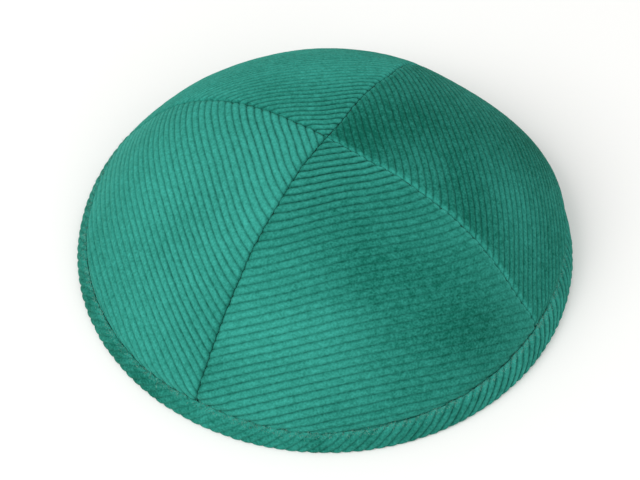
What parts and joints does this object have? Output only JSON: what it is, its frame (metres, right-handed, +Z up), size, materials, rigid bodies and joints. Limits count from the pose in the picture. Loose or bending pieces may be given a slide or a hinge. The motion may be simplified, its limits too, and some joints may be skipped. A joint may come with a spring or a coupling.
{
  "type": "corduroy kippah",
  "caption": "Soft domed kippah of green wide-wale corduroy, gores meeting at the crown, with a bias-cut corduroy binding round the open rim",
  "frame": {"origin": "on the surface that the rim rests on, under the middle of the crown", "axes": "+Z up, from the resting surface to the crown; -Y is the middle of the front gore; +X is the middle of the right gore"},
  "size_m": [0.1674, 0.1674, 0.0555],
  "materials": {
    "corduroy": "matt cotton corduroy with a soft sheen along the pile",
    "binding": "matt cotton corduroy cut on the bias, pressed and stitched down"
  },
  "bodies": {
    "root": {"panel_front": "corduroy", "panel_right": "corduroy", "panel_back": "corduroy", "panel_left": "corduroy", "rim_binding": "binding"}
  },
  "joints": []
}
